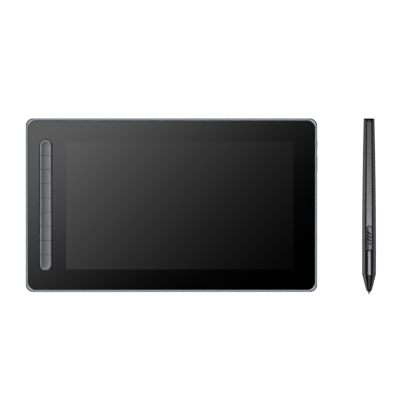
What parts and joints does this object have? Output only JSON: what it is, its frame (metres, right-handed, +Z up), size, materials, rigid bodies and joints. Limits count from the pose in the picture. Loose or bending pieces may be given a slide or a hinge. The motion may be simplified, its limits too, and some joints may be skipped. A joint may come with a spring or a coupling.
{
  "type": "pen display tablet",
  "caption": "Slim graphics tablet with a dark glass screen, a strip of shortcut keys and edge buttons, with its battery-free pen lying beside it.",
  "frame": {"origin": "on the desk, under the middle of the box round the tablet and its pen", "axes": "+X to the tablet's right, +Y towards its far edge, +Z up from the desk"},
  "size_m": [0.3454, 0.1732, 0.0142],
  "materials": {
    "frame_metal": "satin silver blue-grey coat",
    "front_glass": "fine etched, dark when the screen is off",
    "cover_plastic": "fine grained moulding",
    "key_plastic": "satin grey",
    "foot_rubber": "matte",
    "tape": "matte foam",
    "panel_glass": "dark",
    "light_guide_acrylic": "clear white",
    "led_white": "pale",
    "sheet_aluminium": "plain sheet",
    "circuit_board": "green solder mask",
    "black_part": "moulded black",
    "steel": "plain",
    "flat_cable": "amber film",
    "pen_shell": "satin dark grey",
    "pen_button": "satin dark grey",
    "pen_black": "satin black",
    "nib_plastic": "smooth",
    "ferrite": "dull",
    "copper": "enamelled"
  },
  "bodies": {
    "tablet": {"side_frame": "frame_metal", "cover_glass": "front_glass", "rear_cover": "cover_plastic", "foot_1": "foot_rubber", "foot_2": "foot_rubber", "foot_3": "foot_rubber", "foot_4": "foot_rubber", "glass_tape": "tape", "display_panel": "panel_glass", "light_guide": "light_guide_acrylic", "led_bar": "led_white", "backlight_tray": "sheet_aluminium", "shield_plate": "sheet_aluminium", "digitizer_board": "circuit_board", "main_board": "circuit_board", "key_board": "circuit_board", "side_board": "circuit_board", "board_parts": "black_part", "key_carrier": "black_part", "key_switches": "black_part", "side_switches": "black_part", "usb_socket_1": "steel", "usb_socket_2": "steel", "board_screws": "steel", "case_screws": "steel", "display_flex": "flat_cable", "digitizer_flex": "flat_cable", "key_flex": "flat_cable", "side_flex": "flat_cable"},
    "pen": {"pen_barrel": "pen_shell", "pen_tail": "pen_shell", "pen_end_cap": "pen_black", "pen_nose": "pen_black", "pen_carrier": "black_part", "pen_board": "circuit_board", "pen_switches": "black_part", "pressure_sensor": "steel", "ferrite_core": "ferrite", "pen_coil": "copper", "rocker_pin": "steel"},
    "pen_rocker": {"pen_rocker": "pen_button"},
    "pen_nib": {"pen_nib": "nib_plastic", "nib_holder": "nib_plastic"},
    "key_1": {"key_1": "key_plastic"},
    "key_2": {"key_2": "key_plastic"},
    "key_3": {"key_3": "key_plastic"},
    "key_4": {"key_4": "key_plastic"},
    "key_5": {"key_5": "key_plastic"},
    "key_6": {"key_6": "key_plastic"},
    "key_7": {"key_7": "key_plastic"},
    "key_8": {"key_8": "key_plastic"},
    "key_9": {"key_9": "key_plastic"},
    "power_button": {"power_button": "frame_metal"},
    "brightness_up_button": {"brightness_up_button": "frame_metal"},
    "brightness_down_button": {"brightness_down_button": "frame_metal"}
  },
  "joints": [
    {"name": "key_1_press", "type": "slide", "parent": "tablet", "child": "key_1", "axis": [0, 0, -1], "range_m": [0, 0.0005], "stiffness_N_per_m": 1200},
    {"name": "key_2_press", "type": "slide", "parent": "tablet", "child": "key_2", "axis": [0, 0, -1], "range_m": [0, 0.0005], "stiffness_N_per_m": 1200},
    {"name": "key_3_press", "type": "slide", "parent": "tablet", "child": "key_3", "axis": [0, 0, -1], "range_m": [0, 0.0005], "stiffness_N_per_m": 1200},
    {"name": "key_4_press", "type": "slide", "parent": "tablet", "child": "key_4", "axis": [0, 0, -1], "range_m": [0, 0.0005], "stiffness_N_per_m": 1200},
    {"name": "key_5_press", "type": "slide", "parent": "tablet", "child": "key_5", "axis": [0, 0, -1], "range_m": [0, 0.0005], "stiffness_N_per_m": 1200},
    {"name": "key_6_press", "type": "slide", "parent": "tablet", "child": "key_6", "axis": [0, 0, -1], "range_m": [0, 0.0005], "stiffness_N_per_m": 1200},
    {"name": "key_7_press", "type": "slide", "parent": "tablet", "child": "key_7", "axis": [0, 0, -1], "range_m": [0, 0.0005], "stiffness_N_per_m": 1200},
    {"name": "key_8_press", "type": "slide", "parent": "tablet", "child": "key_8", "axis": [0, 0, -1], "range_m": [0, 0.0005], "stiffness_N_per_m": 1200},
    {"name": "key_9_press", "type": "slide", "parent": "tablet", "child": "key_9", "axis": [0, 0, -1], "range_m": [0, 0.0005], "stiffness_N_per_m": 1200},
    {"name": "power_button_press", "type": "slide", "parent": "tablet", "child": "power_button", "axis": [-1, 0, 0], "range_m": [0, 0.0004], "stiffness_N_per_m": 2000},
    {"name": "brightness_up_button_press", "type": "slide", "parent": "tablet", "child": "brightness_up_button", "axis": [-1, 0, 0], "range_m": [0, 0.0004], "stiffness_N_per_m": 2000},
    {"name": "brightness_down_button_press", "type": "slide", "parent": "tablet", "child": "brightness_down_button", "axis": [-1, 0, 0], "range_m": [0, 0.0004], "stiffness_N_per_m": 2000},
    {"name": "pen_lift", "type": "slide", "parent": "tablet", "child": "pen", "axis": [0, 0, 1], "range_m": [0, 0.15]},
    {"name": "rocker_tilt", "type": "hinge", "parent": "pen", "child": "pen_rocker", "pos_m": [0.16585, -0.03155, 0.0097], "axis": [1, 0, 0], "range_deg": [-3, 3], "stiffness_Nm_per_rad": 0.15},
    {"name": "nib_press", "type": "slide", "parent": "pen", "child": "pen_nib", "axis": [0, 1, 0], "range_m": [0, 0.0008], "stiffness_N_per_m": 2000}
  ]
}
